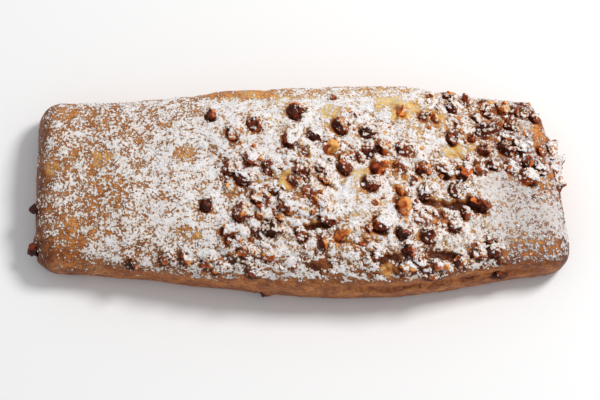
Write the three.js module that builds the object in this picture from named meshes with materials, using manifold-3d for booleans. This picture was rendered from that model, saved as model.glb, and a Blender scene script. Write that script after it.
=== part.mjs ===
// A nut turnover: a long pastry folded over its filling and baked flat side down, with chopped roasted nuts
// stuck to its top. It is one solid, because the nut pieces are baked onto the dough.
// Millimetres. +X runs along the pastry, +Y to its back and +Z up, from the middle of the flat base.
import * as THREE from "three";
import { ConvexGeometry } from "three/addons/geometries/ConvexGeometry.js";
import { ParametricGeometry } from "three/addons/geometries/ParametricGeometry.js";
import { mergeVertices } from "three/addons/utils/BufferGeometryUtils.js";
import Module from "manifold-3d";

// Size of the baked dough
const LENGTH = 154.6;
const END_WIDTH = 50.4;
const FRONT_BULGE = 8;
const BACK_BULGE = 3.2;
const LEFT_HEIGHT = 15.5;
const MIDDLE_HEIGHT = 24;
const RIGHT_HEIGHT = 17.5;

// Places along the pastry where each swelling is greatest, from -1 at the left end to 1 at the right
const FRONT_BULGE_AT = 0.22;
const BACK_BULGE_AT = 0.32;
const TOP_BULGE_AT = 0.12;
const SWELL_REACH = 1.1;

// Powers of the swellings: under 1 is a broad one, over 1 a narrow one
const FRONT_SPREAD = 1.05;
const BACK_SPREAD = 1.4;
const TOP_SPREAD = 0.7;

// Cross-section: a flat base, a tucked lower edge, a waist where it is widest, and a rounded crown
const EDGE_TUCK = 2.6;
const WAIST = 0.34;
const CROWN_POWER = 2.7;

// Ends: rounded corners, a slightly domed end face, and a right end that runs aslant
const CORNER_LENGTH = 7;
const CORNER_INSET = 5.5;
const CORNER_DROP = 6.5;
const CORNER_BASE_LIFT = 2.2;
const END_DOME = 0.5;
const END_FACE_REACH = 10;
const RIGHT_SLANT = 9;
const SLANT_POWER = 1.3;
const SLANT_FROM = 0.3;
const END_MIDDLE = 0.45; // height of the end face's middle, as a share of the section's

// Relief of the crust: a slow unevenness, a crease low on the front, and a crease high on the back over the
// edge of the lower layer of dough, which stands out there. Angles and spreads are in degrees round the
// section, depths in mm into the dough, and the lengths along the pastry from -1 to 1.
const UNEVEN = 0.55;
const LONG_WAVES = [8.5, 9]; // lengths of the slow waves along and across, in mm a radian
const SHORT_WAVES = [4.6, 5.2, 6.8, 4.4]; // the same for two diagonal waves
const SHORT_SHARE = 0.6; // height of the diagonal waves, as a share of the others'
const WAVE_STARTS = [1.3, 0.4, 2]; // in radians
const CREASES = [
  { angle: 13, spread: 7, depth: 1.2, from: 0.05, to: 0.95 },
  { angle: 142, spread: 7, depth: 0.9, from: -0.5, to: 0.55 },
  { angle: 160, spread: 10, depth: -0.9, from: -0.5, to: 0.55 },
];

// Mesh of the dough: steps round the section and along the length
const BASE_STEPS = 3;
const EDGE_STEPS = 2;
const CROWN_STEPS = 15;
const ALONG_STEP = 3.5;

// Chopped nuts of the field, the largest first
const NUT_COUNT = 24;
const NUT_LARGEST = 4.2;
const NUT_SMALLEST = 2.4;
const NUT_LIFT = -0.05;
const NUT_CLEARANCE = 0.74;
const NUT_WIDTHS = [0.7, 1];
const NUT_HEIGHTS = [0.7, 1];
const NUT_LEAN = 0.32; // how far each face of a piece leans aside
const NUT_TIP = 0.7; // most tilt of a piece, in radians
const NUT_SEED = 20731;
const SIZE_FALL = 0.7; // power by which sizes fall from the largest to the smallest
const TRIES_PER_NUT = 200;
const NUTS_HOLD = [0.4, 0.85]; // upward part of the crust's normal where nuts begin to stay, and where all do
const WIDEST_PATCH = 27000; // area of crust, in mm2, that no unit step of ring and path passes

// Flat faces of a piece: a rough box with four corners broken off. Each has a direction and the least and
// most distance from the middle, in shares of the half size.
const NUT_FACES = [
  ...[-1, 1].map((side) => ({ toward: [side, 0, 0], depths: [0.66, 0.95] })),
  ...[-1, 1].map((side) => ({ toward: [0, side, 0], depths: [0.66, 0.95] })),
  ...[-1, 1].map((side) => ({ toward: [0, 0, side], depths: [0.66, 0.95] })),
  ...[-1, 1].map((side) => ({ toward: [side, 1, side], depths: [0.72, 1.05] })),
  ...[-1, 1].map((side) => ({ toward: [side, -1, -side], depths: [0.72, 1.05] })),
];

// Groups that the nuts of the field lie in: place along and across, and reach, in mm
const NUT_GROUPS = [
  [-20, 1, 5],
  [-16, -25, 6],
  [-12, -8, 8],
  [1, -1, 8],
  [4, -19, 7],
  [11, 5, 6],
  [18, 11, 6],
  [19, -22, 6],
  [27, -1.5, 7],
  [34, -13, 7],
  [34, -28, 8],
  [44, 0, 7],
  [43, 17, 7],
  [52, -25, 5],
  [56, 13, 10],
  [71, 1, 7],
];

// Pieces on top that stand out: place along and across, and size, in mm
const TOP_NUTS = [
  [-27.2, -10.4, 4.6], [-25.8, 16.8, 4.2], [-20.8, -0.2, 4.4], [-20.2, -18.5, 5.8], [-19.5, 10.6, 4.8],
  [-17.4, -13.4, 5.8], [-16.7, -24.4, 3.8], [-16.6, -3, 5.6], [-14.7, 2.8, 5.2], [-13, 13.7, 5.8],
  [-12.8, -8.8, 5.2], [-10.3, -9.4, 3.6], [-9.8, 0, 4.6], [-9.3, -25, 5], [-8.8, -17.4, 5.8],
  [-6.6, -15.2, 4], [-4, -12, 6.6], [-3.5, 8.7, 6.2], [-1.6, 17.4, 6], [0.2, -1.2, 5],
  [2.3, -7.4, 6], [3.8, -10.4, 3.8], [3.9, 9.6, 6], [6.5, -22, 4.6], [6.7, -4, 4.6],
  [6.8, -14.8, 5.6], [8.4, 6, 6], [10.8, 12.6, 6], [11.2, -20, 5.2], [12, -0.8, 5],
  [19, 4.4, 5], [19, 10.9, 5.2], [19.6, -5, 6], [21.9, 0.3, 6.4], [22.9, 6.2, 5],
  [22.9, -17, 6], [28.2, -7, 3.6], [28.4, 0.3, 5], [28.5, 17.6, 3.6], [28.6, -19, 4.6],
  [28.7, -11, 6.2], [29.5, 5.8, 6], [30.3, -24.4, 4.4], [33.8, -14.6, 4], [34.8, -7.4, 5.2],
  [35, -0.2, 5.2], [35, 16.4, 4], [35.6, -20.2, 5.4], [40.7, -1, 5.4], [42.9, 20, 4.8],
  [43, 9.6, 5.2], [43.4, -17, 5], [43.6, -6.2, 4.8], [45.8, -1.4, 4.8], [46.4, -13, 4.2],
  [48.4, -9.4, 3.4], [49.9, -23.8, 5], [50.5, 0.6, 4.8], [51.3, -10.8, 4.2], [52.2, 12.4, 6],
  [52.2, 6.2, 4.8], [54.2, -22.4, 5.4], [54.8, 1.4, 4.6], [56, 14.8, 4.2], [58, 7.4, 5.6],
  [58, 20.2, 4.4], [59.6, 1.2, 4.6], [59.8, 15, 4], [61.5, 20, 4], [62.4, 7.4, 5.8],
  [64.1, 19.4, 3.8], [64.4, 2.4, 4], [64.6, -1.4, 5.8], [66.8, 18, 4.6], [67.8, 1.6, 5],
];

// Pieces on the shoulders, sides and ends: place along in mm, angle in degrees round the section, and size in
// mm. The angle is 0 at the front waist, 90 on top and 180 at the back waist.
const SIDE_NUTS = [
  [-76.6, 68, 4.2], [-76.8, 26, 5.4], [-48, 28, 4], [-39, 36, 3.8], [-33, 38, 4.2],
  [-27, 35, 4], [-11.5, -42, 3.8], [9.2, 141, 2.4], [30, 38, 4.6], [38, 36, 4.8],
  [45, 36, 4.6], [46, 145, 4.2], [52.5, 143.5, 4.8], [56.5, 8, 3.4], [59.5, 142, 4.8],
  [76.7, 87, 6], [76.7, 95, 4.8], [76.7, 102, 6.4], [76.7, 109, 6.4], [76.7, 116, 6.2],
];

// The repeatable draw's multiplier and modulus
const DRAW_FACTOR = 48271;
const DRAW_MODULUS = 2147483647;

// Numeric limits: rounds of a search, and distances within which points count as one or as on a face
const HALVINGS = 30;
const PLACE_ROUNDS = 4;
const MERGE_WITHIN = 1e-4;
const FACE_SLACK = 1e-6;

const DEGREE = Math.PI / 180;
const HALF_RING_STEPS = BASE_STEPS + EDGE_STEPS + CROWN_STEPS;
const BASE_SHARE = (0.5 * BASE_STEPS) / HALF_RING_STEPS;
const EDGE_SHARE = (0.5 * EDGE_STEPS) / HALF_RING_STEPS;
const CROWN_SHARE = (0.5 * CROWN_STEPS) / HALF_RING_STEPS;
const HALF_LENGTH = LENGTH / 2 - END_DOME;
const CORNER_PATH = (CORNER_LENGTH * Math.PI) / 2;
const STRAIGHT_PATH = 2 * (HALF_LENGTH - CORNER_LENGTH);
const PATH = STRAIGHT_PATH + 2 * (CORNER_PATH + END_FACE_REACH);

const { lerp, smoothstep, clamp } = THREE.MathUtils;

// A repeatable draw from 0 to 1: each state is the last one times a factor, less whole moduli.
function makeDraw(seed) {
  let state = seed;
  return () => {
    state = (state * DRAW_FACTOR) % DRAW_MODULUS;
    return state / DRAW_MODULUS;
  };
}

// A smooth swelling along the pastry: 1 at its place, fading out past both ends.
function swell(t, at) {
  const reach = t < at ? SWELL_REACH + at : SWELL_REACH - at;
  return 0.5 + 0.5 * Math.cos((Math.PI * (t - at)) / reach);
}

// A point of the lengthwise path, from the middle of the left end face to the middle of the right one:
// its place along X, how far its corner has turned (0 to 1) and how much of the end face it spans (0 to 1).
function alongPath(v) {
  const side = v < 0.5 ? -1 : 1;
  const fromEnd = PATH * (v < 0.5 ? v : 1 - v);
  const span = clamp(fromEnd / END_FACE_REACH, 0, 1);
  const turn = 90 * DEGREE * (1 - clamp((fromEnd - END_FACE_REACH) / CORNER_PATH, 0, 1));
  const fromStraight = Math.max(fromEnd - END_FACE_REACH - CORNER_PATH, 0);
  const dome = END_DOME * (1 - span * span);
  const x = HALF_LENGTH - CORNER_LENGTH * (1 - Math.sin(turn)) - fromStraight + dome;
  return { x: side * x, corner: 1 - Math.cos(turn), span };
}

// The share of the path at a place along X, short of the end faces.
function pathShare(x) {
  const straightEnd = HALF_LENGTH - CORNER_LENGTH;
  const past = clamp((Math.abs(x) - straightEnd) / CORNER_LENGTH, 0, 1);
  const cornerPath = CORNER_PATH * (Math.asin(past) / (90 * DEGREE));
  const fromMiddle = Math.min(Math.abs(x), straightEnd) + cornerPath;
  return 0.5 + (Math.sign(x) * fromMiddle) / PATH;
}

// Half-widths and heights of the cross-section at a point of the path.
function sectionAt({ x, corner }) {
  const t = x / HALF_LENGTH;
  const inset = CORNER_INSET * corner;
  const endHeight = lerp(LEFT_HEIGHT, RIGHT_HEIGHT, (t + 1) / 2);
  const rise = MIDDLE_HEIGHT - (LEFT_HEIGHT + RIGHT_HEIGHT) / 2;
  const base = CORNER_BASE_LIFT * corner;
  const top = endHeight + rise * swell(t, TOP_BULGE_AT) ** TOP_SPREAD - CORNER_DROP * corner;
  return {
    front: END_WIDTH / 2 + FRONT_BULGE * swell(t, FRONT_BULGE_AT) ** FRONT_SPREAD - inset,
    back: END_WIDTH / 2 + BACK_BULGE * swell(t, BACK_BULGE_AT) ** BACK_SPREAD - inset,
    base,
    top,
    waist: lerp(base, top, WAIST),
  };
}

// Slow bumps and hollows of the risen dough.
function unevenness(x, y) {
  const long = Math.sin(x / LONG_WAVES[0] + WAVE_STARTS[0]) * Math.cos(y / LONG_WAVES[1] + WAVE_STARTS[1]);
  const falling = Math.sin(x / SHORT_WAVES[0] - y / SHORT_WAVES[1] + WAVE_STARTS[2]);
  const rising = Math.cos(x / SHORT_WAVES[2] + y / SHORT_WAVES[3]);
  return UNEVEN * (long + SHORT_SHARE * falling * rising);
}

// Depth of the creases at a place along the pastry and an angle round the section.
function creaseDepth(t, angle) {
  let depth = 0;
  for (const crease of CREASES) {
    const middle = (crease.from + crease.to) / 2;
    const reach = (crease.to - crease.from) / 2;
    const fade = 1 - smoothstep(Math.abs(t - middle) / reach, 0.5, 1);
    const across = (angle - crease.angle) / crease.spread;
    depth += crease.depth * fade * Math.exp(-across * across);
  }
  return depth;
}

// A point of the section's rim, in Y and Z. The ring starts under the middle and runs up the front, over the
// top and down the back.
function ringPoint(ring, section, x) {
  const isFront = ring < 0.5;
  const share = isFront ? ring : 1 - ring;
  const reach = isFront ? section.front : section.back;
  const outward = isFront ? -1 : 1;
  if (share < BASE_SHARE) {
    return { y: (outward * (reach - EDGE_TUCK) * share) / BASE_SHARE, z: section.base };
  }
  if (share < BASE_SHARE + EDGE_SHARE) {
    const angle = (90 * DEGREE * (share - BASE_SHARE)) / EDGE_SHARE;
    const y = reach - EDGE_TUCK * (1 - Math.sin(angle));
    return { y: outward * y, z: lerp(section.base, section.waist, 1 - Math.cos(angle)) };
  }
  const degrees = (90 * (share - BASE_SHARE - EDGE_SHARE)) / CROWN_SHARE;
  const across = Math.cos(degrees * DEGREE);
  const up = Math.sin(degrees * DEGREE);
  const radius = (across ** CROWN_POWER + up ** CROWN_POWER) ** (-1 / CROWN_POWER);
  const y = outward * reach * radius * across;
  const turned = isFront ? degrees : 180 - degrees;
  const relief = up * unevenness(x, y) - creaseDepth(x / HALF_LENGTH, turned);
  return {
    y: y + outward * relief * across,
    z: lerp(section.waist, section.top, radius * up) + relief * up,
  };
}

// The dough's surface: ring runs round the section and v along the path, both from 0 to 1.
function doughPoint(ring, v, target) {
  const at = alongPath(v);
  const section = sectionAt(at);
  const { y, z } = ringPoint(ring, section, at.x);
  const middleY = (section.back - section.front) / 2;
  const middleZ = lerp(section.base, section.top, END_MIDDLE);
  const spannedY = lerp(middleY, y, at.span);
  const fromFront = Math.max(spannedY / END_WIDTH + 0.5, 0);
  const slant = smoothstep(at.x / HALF_LENGTH, SLANT_FROM, 1) * fromFront ** SLANT_POWER;
  return target.set(at.x - RIGHT_SLANT * slant, spannedY, lerp(middleZ, z, at.span));
}

// The outward direction of the dough at a point of its surface, as long as the area that a unit step of ring
// and path spans there.
function doughArea(ring, v) {
  const step = 1e-3;
  const round = doughPoint(ring + step, v, new THREE.Vector3());
  round.sub(doughPoint(ring - step, v, new THREE.Vector3()));
  const along = doughPoint(ring, v + step, new THREE.Vector3());
  along.sub(doughPoint(ring, v - step, new THREE.Vector3()));
  return along.cross(round).divideScalar(4 * step * step);
}

// The ring share at an angle round the section, in degrees from the front waist over the top.
function ringShare(angle) {
  const fromWaist = angle <= 90 ? angle : 180 - angle;
  const perDegree = (fromWaist < 0 ? EDGE_SHARE : CROWN_SHARE) / 90;
  const share = BASE_SHARE + EDGE_SHARE + fromWaist * perDegree;
  return angle <= 90 ? share : 1 - share;
}

// The share between low and high from which a test holds.
function firstShare(low, high, holds) {
  for (let i = 0; i < HALVINGS; i++) {
    const middle = (low + high) / 2;
    if (holds(middle)) high = middle;
    else low = middle;
  }
  return high;
}

// The ring and path shares of the crust above a place in X and Y, found by turns.
function topPlace(x, y) {
  const point = new THREE.Vector3();
  let ring = 0.5;
  let v = 0.5;
  for (let round = 0; round < PLACE_ROUNDS; round++) {
    v = firstShare(0, 1, (share) => doughPoint(ring, share, point).x > x);
    ring = firstShare(ringShare(0), ringShare(180), (share) => doughPoint(share, v, point).y > y);
  }
  return { ring, v };
}

// How thickly nuts lie at a place, from 0 to 1: most in the middle of a group, none where the crust is steep.
function nutDensity({ x, y }, upward) {
  const shares = NUT_GROUPS.map(([groupX, groupY, reach]) =>
    Math.exp(-((x - groupX) ** 2 + (y - groupY) ** 2) / reach ** 2),
  );
  return Math.max(...shares) * smoothstep(upward, ...NUTS_HOLD);
}

// Where the nuts lie and how large they are: the single pieces, then the field, drawn so that none crowd.
function scatterNuts(draw) {
  const nuts = [];
  const place = ({ ring, v }, size) => {
    nuts.push({ ring, v, size, point: doughPoint(ring, v, new THREE.Vector3()) });
  };
  for (const [x, y, size] of TOP_NUTS) place(topPlace(x, y), size);
  for (const [x, angle, size] of SIDE_NUTS) place({ ring: ringShare(angle), v: pathShare(x) }, size);
  for (let i = 0; i < NUT_COUNT; i++) {
    const size = lerp(NUT_LARGEST, NUT_SMALLEST, (i / NUT_COUNT) ** SIZE_FALL);
    for (let attempt = 0; attempt < TRIES_PER_NUT; attempt++) {
      const ring = lerp(ringShare(0), ringShare(180), draw());
      const v = draw();
      const keep = draw();
      const point = doughPoint(ring, v, new THREE.Vector3());
      const isClear = nuts.every(
        (nut) => nut.point.distanceTo(point) > (NUT_CLEARANCE * (nut.size + size)) / 2,
      );
      const area = doughArea(ring, v);
      const spread = area.length() / WIDEST_PATCH;
      if (isClear && keep < spread * nutDensity(point, area.normalize().z)) {
        nuts.push({ ring, v, size, point });
        break;
      }
    }
  }
  return nuts;
}

// A unit direction drawn at random.
function drawDirection(draw) {
  const up = lerp(-1, 1, draw());
  const around = 2 * Math.PI * draw();
  const across = Math.sqrt(1 - up * up);
  return new THREE.Vector3(across * Math.cos(around), across * Math.sin(around), up);
}

// The faces of one broken nut piece of half size 1, leaning aside at random.
function nutFaces(draw) {
  return NUT_FACES.map(({ toward, depths }) => {
    const normal = new THREE.Vector3(...toward).normalize();
    normal.addScaledVector(drawDirection(draw), NUT_LEAN).normalize();
    return new THREE.Plane(normal, -lerp(...depths, draw()));
  });
}

// The point where three planes meet.
function meetingPoint(a, b, c) {
  const point = new THREE.Vector3().crossVectors(b.normal, c.normal);
  const spread = a.normal.dot(point);
  point.multiplyScalar(a.constant);
  point.addScaledVector(new THREE.Vector3().crossVectors(c.normal, a.normal), b.constant);
  point.addScaledVector(new THREE.Vector3().crossVectors(a.normal, b.normal), c.constant);
  return point.divideScalar(-spread);
}

// Corners of the convex solid inside flat faces: meeting points of three faces that no other face cuts off.
function cornersWithin(faces) {
  const corners = [];
  faces.forEach((a, i) => {
    faces.slice(0, i).forEach((b, j) => {
      faces.slice(0, j).forEach((c) => {
        const point = meetingPoint(a, b, c);
        if (faces.every((face) => face.distanceToPoint(point) < FACE_SLACK)) corners.push(point);
      });
    });
  });
  return corners;
}

// A broken nut piece, flattened and turned at random, where it sits on the dough.
function nutGeometry({ ring, v, size, point }, draw) {
  const proportions = new THREE.Vector3(1, lerp(...NUT_WIDTHS, draw()), lerp(...NUT_HEIGHTS, draw()));
  const corners = cornersWithin(nutFaces(draw));
  corners.forEach((corner) => corner.multiply(proportions).multiplyScalar(size / 2));
  const normal = doughArea(ring, v).normalize();
  const tilt = () => lerp(-NUT_TIP, NUT_TIP, draw());
  const tip = new THREE.Euler(tilt(), tilt(), 2 * Math.PI * draw());
  const turn = new THREE.Quaternion().setFromUnitVectors(new THREE.Vector3(0, 0, 1), normal);
  turn.multiply(new THREE.Quaternion().setFromEuler(tip));
  const seat = point.clone().addScaledVector(normal, NUT_LIFT * size);
  const place = new THREE.Matrix4().compose(seat, turn, new THREE.Vector3(1, 1, 1));
  return bare(new ConvexGeometry(corners)).applyMatrix4(place);
}

// A geometry with nothing but positions, its shared corners merged.
function bare(geometry) {
  geometry.deleteAttribute("normal");
  geometry.deleteAttribute("uv");
  return mergeVertices(geometry, MERGE_WITHIN);
}

const wasm = await Module();
wasm.setup();

// A closed geometry as a solid. Triangles that closed up at a pole are dropped.
function solidOf(geometry) {
  const index = geometry.index.array;
  const triangles = [];
  for (let i = 0; i < index.length; i += 3) {
    const [a, b, c] = index.slice(i, i + 3);
    if (a !== b && b !== c && c !== a) triangles.push(a, b, c);
  }
  const mesh = new wasm.Mesh({
    numProp: 3,
    vertProperties: geometry.attributes.position.array,
    triVerts: new Uint32Array(triangles),
  });
  return new wasm.Manifold(mesh);
}

// A solid as a three.js geometry.
function geometryOf(solid) {
  const mesh = solid.getMesh();
  const geometry = new THREE.BufferGeometry();
  geometry.setAttribute("position", new THREE.BufferAttribute(mesh.vertProperties, 3));
  geometry.setIndex(new THREE.BufferAttribute(mesh.triVerts, 1));
  geometry.computeVertexNormals();
  return geometry;
}

// The dough alone. Its rings are drawn backwards, so that its faces point out.
function doughSolid() {
  const surface = (u, v, target) => doughPoint(1 - u, v, target);
  const along = Math.round(PATH / ALONG_STEP);
  return solidOf(bare(new ParametricGeometry(surface, 2 * HALF_RING_STEPS, along)));
}

// The dough with every nut piece fused on.
function turnoverSolid() {
  const draw = makeDraw(NUT_SEED);
  const nuts = scatterNuts(draw);
  return nuts.reduce((solid, nut) => solid.add(solidOf(nutGeometry(nut, draw))), doughSolid());
}

const crust = new THREE.MeshStandardMaterial({ color: 0xc08a52, roughness: 0.7, metalness: 0 });
const turnover = new THREE.Mesh(geometryOf(turnoverSolid()), crust);
turnover.name = "nut_turnover";

const part = new THREE.Group();
part.add(turnover);
export default part;
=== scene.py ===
"""Looks of a nut turnover: a baked crust, chopped roasted nuts and a dusting of icing sugar.

The pieces are worked out in millimetres, in the part's own frame: +X along, +Y back and +Z up, from the
middle of the flat base. They become metres when their meshes are made. The dough and the nuts follow the
solid's own sizes and rules, and the places of the nuts, bare patches and clefts are listed.
"""

import math

import bmesh
import bpy
import numpy as np
from mathutils import Euler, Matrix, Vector, noise


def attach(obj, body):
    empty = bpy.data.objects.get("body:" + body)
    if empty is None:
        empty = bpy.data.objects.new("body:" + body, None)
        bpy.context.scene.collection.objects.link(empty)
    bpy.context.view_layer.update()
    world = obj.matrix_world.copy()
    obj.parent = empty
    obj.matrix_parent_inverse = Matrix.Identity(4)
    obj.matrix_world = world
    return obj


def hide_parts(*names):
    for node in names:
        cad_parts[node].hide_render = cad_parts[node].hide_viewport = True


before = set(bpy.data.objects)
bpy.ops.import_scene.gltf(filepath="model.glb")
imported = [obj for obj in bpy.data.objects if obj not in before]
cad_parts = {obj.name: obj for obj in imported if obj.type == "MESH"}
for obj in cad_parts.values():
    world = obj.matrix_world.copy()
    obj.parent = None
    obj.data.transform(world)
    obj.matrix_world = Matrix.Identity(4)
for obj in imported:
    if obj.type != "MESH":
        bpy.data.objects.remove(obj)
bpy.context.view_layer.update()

MM = 0.001

# Size of the baked dough, as in the solid
LENGTH = 154.6
END_WIDTH = 50.4
FRONT_BULGE = 8.0
BACK_BULGE = 3.2
LEFT_HEIGHT = 15.5
MIDDLE_HEIGHT = 24.0
RIGHT_HEIGHT = 17.5
FRONT_BULGE_AT = 0.22
BACK_BULGE_AT = 0.32
TOP_BULGE_AT = 0.12
SWELL_REACH = 1.1
FRONT_SPREAD = 1.05
BACK_SPREAD = 1.4
TOP_SPREAD = 0.7
EDGE_TUCK = 2.6
WAIST = 0.34
CROWN_POWER = 2.7
CORNER_LENGTH = 7.0
CORNER_INSET = 5.5
CORNER_DROP = 6.5
CORNER_BASE_LIFT = 2.2
END_DOME = 0.5
END_MIDDLE = 0.45
END_FACE_REACH = 10.0
RIGHT_SLANT = 9.0
SLANT_POWER = 1.3
SLANT_FROM = 0.3

# Unevenness of the top: height in mm, wave lengths in mm a radian, and starts in radians
UNEVEN = 0.55
LONG_WAVES = (8.5, 9.0)
SHORT_WAVES = (4.6, 5.2, 6.8, 4.4)
SHORT_SHARE = 0.6
WAVE_STARTS = (1.3, 0.4, 2.0)

# Creases: angle and spread in degrees round the section, depth in mm, and ends in shares of the half length
CREASES = [
    {"angle": 13, "spread": 7, "depth": 1.2, "from": 0.05, "to": 0.95},
    {"angle": 142, "spread": 7, "depth": 0.9, "from": -0.5, "to": 0.55},
    {"angle": 160, "spread": 10, "depth": -0.9, "from": -0.5, "to": 0.55},
]
CREASE_FADE = (0.5, 1.0)

# Shares of half a ring that run under the base, round the lower edge and over the crown
BASE_SHARE = 0.075
EDGE_SHARE = 0.05
CROWN_SHARE = 0.375

# Fine mesh of the crust
FINE_BASE_STEPS = 6
FINE_EDGE_STEPS = 8
FINE_CROWN_STEPS = 100
FINE_ALONG_STEP = 0.46

# Chopped nuts, drawn as in the solid
NUT_COUNT = 24
NUT_LARGEST = 4.2
NUT_SMALLEST = 2.4
SIZE_FALL = 0.7
NUT_LIFT = -0.05
NUT_CLEARANCE = 0.74
NUT_WIDTHS = (0.7, 1.0)
NUT_HEIGHTS = (0.7, 1.0)
NUT_LEAN = 0.32
NUT_TIP = 0.7
NUT_SEED = 20731
TRIES_PER_NUT = 200
NUTS_HOLD = (0.4, 0.85)
WIDEST_PATCH = 27000.0

# Repeatable draws, and how closely a place on the crust is found
DRAW_FACTOR = 48271
DRAW_MODULUS = 2147483647
HALVINGS = 30
PLACE_ROUNDS = 4

# Flat faces of a piece: directions, and least and most distance from the middle in shares of the half size
NUT_FACES = [((side, 0, 0), (0.66, 0.95)) for side in (-1, 1)]
NUT_FACES += [((0, side, 0), (0.66, 0.95)) for side in (-1, 1)]
NUT_FACES += [((0, 0, side), (0.66, 0.95)) for side in (-1, 1)]
NUT_FACES += [((side, 1, side), (0.72, 1.05)) for side in (-1, 1)]
NUT_FACES += [((side, -1, -side), (0.72, 1.05)) for side in (-1, 1)]

# Groups that the nuts of the field lie in: place along and across, and reach, in mm
NUT_GROUPS = [
    (-20, 1, 5),
    (-16, -25, 6),
    (-12, -8, 8),
    (1, -1, 8),
    (4, -19, 7),
    (11, 5, 6),
    (18, 11, 6),
    (19, -22, 6),
    (27, -1.5, 7),
    (34, -13, 7),
    (34, -28, 8),
    (44, 0, 7),
    (43, 17, 7),
    (52, -25, 5),
    (56, 13, 10),
    (71, 1, 7),
]

# Nut pieces on top that stand out: place along and across, and size, in mm, then roast and sugar from 0 to 1
TOP_NUTS = [
    (-27.2, -10.4, 4.6, 1, 0), (-25.8, 16.8, 4.2, 0.85, 0.1), (-20.8, -0.2, 4.4, 0.7, 0.5),
    (-20.2, -18.5, 5.8, 0.65, 0.9), (-19.5, 10.6, 4.8, 0.65, 0.5), (-17.4, -13.4, 5.8, 0.6, 0.5),
    (-16.7, -24.4, 3.8, 0.5, 0.6), (-16.6, -3, 5.6, 0.75, 0.8), (-14.7, 2.8, 5.2, 0.4, 0.95),
    (-13, 13.7, 5.8, 0.8, 0.3), (-12.8, -8.8, 5.2, 0.55, 0.7), (-10.3, -9.4, 3.6, 0.6, 0.3),
    (-9.8, 0, 4.6, 0.7, 0.25), (-9.3, -25, 5, 0.35, 0.6), (-8.8, -17.4, 5.8, 1, 0.45),
    (-6.6, -15.2, 4, 0.45, 0.4), (-4, -12, 6.6, 0.45, 0.9), (-3.5, 8.7, 6.2, 0.6, 1),
    (-1.6, 17.4, 6, 0.9, 0.2), (0.2, -1.2, 5, 0.75, 0.5), (2.3, -7.4, 6, 0.2, 0.5),
    (3.8, -10.4, 3.8, 0.25, 0.3), (3.9, 9.6, 6, 0.65, 0.85), (6.5, -22, 4.6, 0.45, 0.3),
    (6.7, -4, 4.6, 0.45, 0.6), (6.8, -14.8, 5.6, 0.6, 0.8), (8.4, 6, 6, 0.1, 0),
    (10.8, 12.6, 6, 0.85, 0.35), (11.2, -20, 5.2, 0.3, 0.2), (12, -0.8, 5, 0.7, 0.3),
    (19, 4.4, 5, 0.95, 0.3), (19, 10.9, 5.2, 0.75, 0.6), (19.6, -5, 6, 0.65, 0.6),
    (21.9, 0.3, 6.4, 0.5, 0.05), (22.9, 6.2, 5, 0.65, 0.4), (22.9, -17, 6, 0.65, 0.9),
    (28.2, -7, 3.6, 0.4, 0.3), (28.4, 0.3, 5, 0.55, 0.8), (28.5, 17.6, 3.6, 0.55, 0),
    (28.6, -19, 4.6, 1, 0.1), (28.7, -11, 6.2, 0.45, 0.15), (29.5, 5.8, 6, 0.65, 0.75),
    (30.3, -24.4, 4.4, 0.85, 0.2), (33.8, -14.6, 4, 0.3, 0.9), (34.8, -7.4, 5.2, 0.75, 0.85),
    (35, -0.2, 5.2, 0.7, 0.3), (35, 16.4, 4, 0.75, 0.5), (35.6, -20.2, 5.4, 0.75, 0.9),
    (40.7, -1, 5.4, 0.9, 0.75), (42.9, 20, 4.8, 0.75, 0.5), (43, 9.6, 5.2, 0.85, 0.3),
    (43.4, -17, 5, 0.55, 0.7), (43.6, -6.2, 4.8, 0.85, 0.5), (45.8, -1.4, 4.8, 0.85, 0),
    (46.4, -13, 4.2, 0.65, 0.6), (48.4, -9.4, 3.4, 1, 0.1), (49.9, -23.8, 5, 0.6, 0.8),
    (50.5, 0.6, 4.8, 0.6, 0.7), (51.3, -10.8, 4.2, 1, 0.05), (52.2, 12.4, 6, 0.85, 0.4),
    (52.2, 6.2, 4.8, 0.65, 0.35), (54.2, -22.4, 5.4, 0.85, 0.6), (54.8, 1.4, 4.6, 0.6, 0.7),
    (56, 14.8, 4.2, 0.75, 0.4), (58, 7.4, 5.6, 1, 0.3), (58, 20.2, 4.4, 0.35, 0.4),
    (59.6, 1.2, 4.6, 0.35, 1), (59.8, 15, 4, 0.75, 0.5), (61.5, 20, 4, 0.75, 0.4),
    (62.4, 7.4, 5.8, 0.9, 0.9), (64.1, 19.4, 3.8, 0.7, 0.4), (64.4, 2.4, 4, 0.95, 0.2),
    (64.6, -1.4, 5.8, 0.55, 0.8), (66.8, 18, 4.6, 0.85, 0.6), (67.8, 1.6, 5, 0.85, 0.9),
]

# Nut pieces on the shoulders, sides and ends: place along in mm, angle in degrees, size in mm, roast, sugar
SIDE_NUTS = [
    (-76.6, 68, 4.2, 0.95, 0), (-76.8, 26, 5.4, 0.95, 0), (-48, 28, 4, 0.85, 0.3),
    (-39, 36, 3.8, 0.25, 0.7), (-33, 38, 4.2, 0.3, 0.7), (-27, 35, 4, 0.3, 0.8),
    (-11.5, -42, 3.8, 0.95, 0), (9.2, 141, 2.4, 0.8, 0), (30, 38, 4.6, 0.4, 0.9),
    (38, 36, 4.8, 0.3, 0.9), (45, 36, 4.6, 0.6, 0.6), (46, 145, 4.2, 0.75, 0.6),
    (52.5, 143.5, 4.8, 0.7, 0.5), (56.5, 8, 3.4, 0.9, 0.3), (59.5, 142, 4.8, 0.5, 0.4),
    (76.7, 87, 6, 0.7, 0.6), (76.7, 95, 4.8, 0.5, 0.8), (76.7, 102, 6.4, 0.4, 0.9),
    (76.7, 109, 6.4, 0.7, 0.7), (76.7, 116, 6.2, 0.8, 0.6),
]

HALF_LENGTH = LENGTH / 2 - END_DOME
CORNER_PATH = CORNER_LENGTH * math.pi / 2
STRAIGHT_PATH = 2 * (HALF_LENGTH - CORNER_LENGTH)
PATH = STRAIGHT_PATH + 2 * (CORNER_PATH + END_FACE_REACH)


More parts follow.
